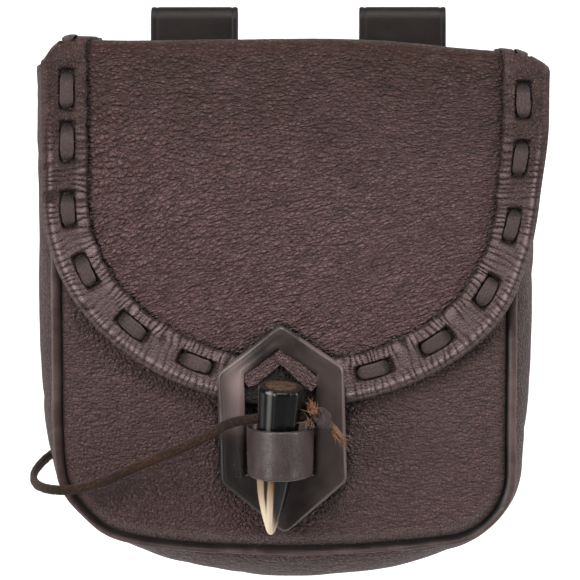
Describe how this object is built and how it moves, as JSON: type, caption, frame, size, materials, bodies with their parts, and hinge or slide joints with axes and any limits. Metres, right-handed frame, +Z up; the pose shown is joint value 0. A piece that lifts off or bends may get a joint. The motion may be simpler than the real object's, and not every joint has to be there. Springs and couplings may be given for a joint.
{
  "type": "belt pouch",
  "caption": "Small leather belt pouch with a laced round flap, a windowed closure tab, a horn toggle in a keeper loop, a tether thong and belt loops.",
  "frame": {"origin": "middle of the belt passage: pouch's centre plane, middle of the belt gap, middle of the passage's height", "axes": "+X along the belt to the right as seen from the front, +Y from the front towards the wearer, +Z up"},
  "size_m": [0.2114, 0.1024, 0.2329],
  "materials": {
    "pouch_leather": "pebbled, soft, lightly waxed",
    "flap_leather": "pebbled, soft, lightly waxed",
    "border_leather": "thin, gathered, satin",
    "welt_leather": "raw cut edge, dark",
    "strap_leather": "smooth, dark, waxed",
    "tab_leather": "smooth, dark, satin with burnished edges",
    "lace_leather": "flat lace, matt",
    "thong_suede": "suede thong, matt",
    "horn": "polished horn, black to cream",
    "thread": "waxed linen thread"
  },
  "bodies": {
    "pouch": {"back_panel": "pouch_leather", "back_welt": "welt_leather", "gusset": "pouch_leather", "front_welt": "welt_leather", "front_panel": "pouch_leather", "belt_loop_left": "strap_leather", "belt_loop_right": "strap_leather", "belt_loop_stitches_left": "thread", "belt_loop_stitches_right": "thread", "keeper_loop": "strap_leather", "keeper_stitches": "thread", "tether": "thong_suede", "anchor_knot": "thong_suede"},
    "flap_top": {"flap_top": "flap_leather", "flap_border_top_left": "border_leather", "flap_border_top_right": "border_leather"},
    "flap_front": {"flap_drop": "flap_leather", "flap_border": "border_leather", "edge_lace_left": "lace_leather", "edge_lace_right": "lace_leather", "closure_tab": "tab_leather", "window_fold_left": "border_leather", "window_fold_right": "border_leather"},
    "toggle": {"horn_toggle": "horn", "toggle_knot": "thong_suede", "thong_end": "thong_suede"}
  },
  "joints": [
    {"name": "flap_lift", "type": "hinge", "parent": "pouch", "child": "flap_top", "pos_m": [0, -0.008, 0.0186], "axis": [-1, 0, 0], "range_deg": [0, 90]},
    {"name": "flap_unfold", "type": "hinge", "parent": "flap_top", "child": "flap_front", "pos_m": [0, -0.066, 0.0099], "axis": [-1, 0, 0], "range_deg": [0, 90]},
    {"name": "toggle_pull", "type": "slide", "parent": "pouch", "child": "toggle", "axis": [0.0721, -0.1762, 0.9817], "range_m": [0, 0.07], "deforming": ["tether"]}
  ]
}
